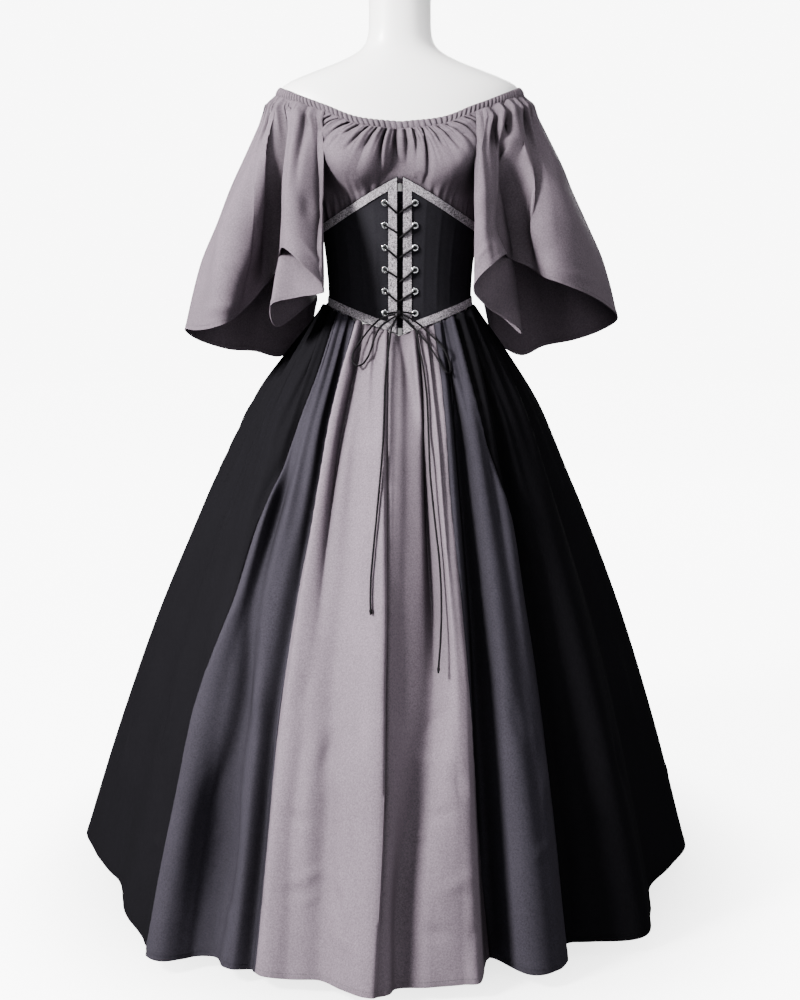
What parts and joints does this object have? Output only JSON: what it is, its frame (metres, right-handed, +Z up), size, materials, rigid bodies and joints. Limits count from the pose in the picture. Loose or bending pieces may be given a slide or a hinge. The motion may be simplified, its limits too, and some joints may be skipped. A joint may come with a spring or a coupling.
{
  "type": "off-shoulder laced dress on a limbless dress form with a pole and round base",
  "caption": "Floor-length off-shoulder dress with flutter sleeves, a front-laced corset waist and a panelled full skirt, on a white dress form with a steel stand.",
  "frame": {"origin": "centre of the stand's round base on its underside, at floor level", "axes": "+Z up, -Y towards the front of the dress, +X towards the wearer's left"},
  "size_m": [1.1411, 1.1212, 1.572],
  "materials": {
    "dove": "mauve-grey cotton with a soft sheen",
    "charcoal": "dark grey cotton with a soft sheen",
    "black": "black cotton with a soft sheen",
    "corset": "black twill over boning",
    "braid": "silver-grey woven braid",
    "lace": "black round cord",
    "eyelet": "bright nickel",
    "form": "white satin gloss",
    "steel": "brushed"
  },
  "bodies": {
    "root": {"form_torso": "form", "form_pole": "steel", "form_base": "steel", "neck_casing": "dove", "bodice_front": "dove", "bodice_back": "dove", "sleeve_left": "dove", "sleeve_right": "dove", "skirt_side_right": "black", "skirt_gore_right": "charcoal", "skirt_front_right": "dove", "skirt_front_left": "dove", "skirt_gore_left": "charcoal", "skirt_side_left": "black", "skirt_back_left": "black", "skirt_back_right": "black", "corset_left": "corset", "corset_right": "corset", "corset_back": "corset", "corset_modesty_panel": "corset", "trim_top_left": "braid", "trim_bottom_left": "braid", "trim_top_right": "braid", "trim_bottom_right": "braid", "trim_top_back": "braid", "trim_bottom_back": "braid", "trim_front_left": "braid", "trim_front_right": "braid", "eyelet_left_1": "eyelet", "eyelet_right_1": "eyelet", "eyelet_left_2": "eyelet", "eyelet_right_2": "eyelet", "eyelet_left_3": "eyelet", "eyelet_right_3": "eyelet", "eyelet_left_4": "eyelet", "eyelet_right_4": "eyelet", "eyelet_left_5": "eyelet", "eyelet_right_5": "eyelet", "eyelet_left_6": "eyelet", "eyelet_right_6": "eyelet", "lace_from_left": "lace", "lace_from_right": "lace", "bow_knot": "lace", "bow_loop_left": "lace", "bow_loop_right": "lace", "lace_end_left": "lace", "lace_end_right": "lace"}
  },
  "joints": []
}
